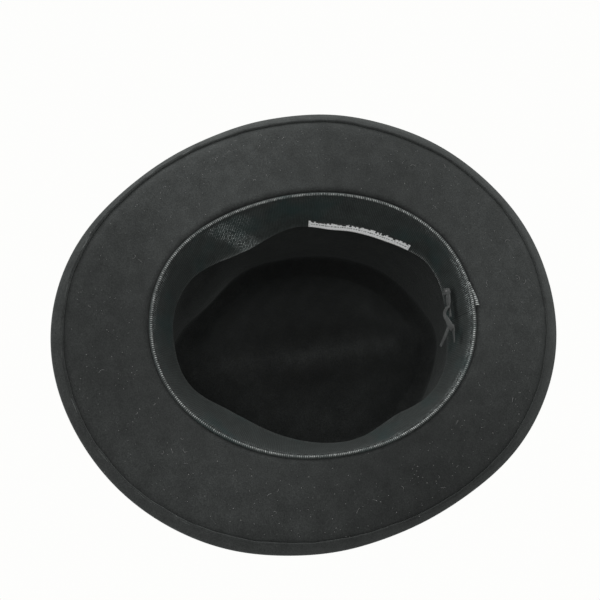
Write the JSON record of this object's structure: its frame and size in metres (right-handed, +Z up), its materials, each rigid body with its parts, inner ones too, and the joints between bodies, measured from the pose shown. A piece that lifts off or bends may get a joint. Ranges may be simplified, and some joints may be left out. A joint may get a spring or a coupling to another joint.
{
  "type": "snap-brim felt hat",
  "caption": "Black felt snap-brim hat with a centre-dent crown, turned-under wired brim edge, ribbon sweatband and outside ribbon band with a side bow.",
  "frame": {"origin": "centre of the head opening, in the plane of the underside of the brim at its root", "axes": "+Z up into the crown, front of the hat towards -Y, wearer's left towards +X"},
  "size_m": [0.2803, 0.3139, 0.1196],
  "materials": {
    "felt": "matte black wool felt with a short nap",
    "sweatband_ribbon": "dark ribbed ribbon",
    "hat_ribbon": "black ribbed ribbon, slight sheen",
    "bow_ribbon": "narrow satin ribbon",
    "label_cloth": "woven pale label",
    "thread": "polyester sewing thread",
    "pale_thread": "pale sewing thread",
    "wire": "spring wire"
  },
  "bodies": {
    "hat": {"felt_body": "felt", "brim_welt_rear": "felt", "brim_wire_rear": "wire", "sweatband": "sweatband_ribbon", "sweatband_stitches": "thread", "sweatband_lap": "sweatband_ribbon", "sweatband_lap_stitches": "pale_thread", "label": "label_cloth", "label_stitches": "pale_thread", "hat_band": "hat_ribbon", "hat_band_bow_tail": "hat_ribbon", "hat_band_bow_back_loop": "hat_ribbon", "hat_band_bow_front_loop": "hat_ribbon", "hat_band_bow_knot": "hat_ribbon", "hat_band_tacks": "thread", "back_bow_tack": "thread"},
    "front_brim": {"brim_front": "felt", "brim_welt_front": "felt", "brim_wire_front": "wire"},
    "back_bow": {"back_bow_tab": "bow_ribbon", "back_bow_loops": "bow_ribbon", "back_bow_knot": "bow_ribbon", "back_bow_tails": "bow_ribbon"}
  },
  "joints": [
    {"name": "brim_snap", "type": "hinge", "parent": "hat", "child": "front_brim", "pos_m": [0, -0.112, 0.001], "axis": [-1, 0, 0], "range_deg": [-12, 25]},
    {"name": "bow_swing", "type": "hinge", "parent": "hat", "child": "back_bow", "pos_m": [0.01223, 0.08967, 0.01739], "axis": [-0.0805, 0.91, 0.4068], "range_deg": [-25, 25]}
  ]
}
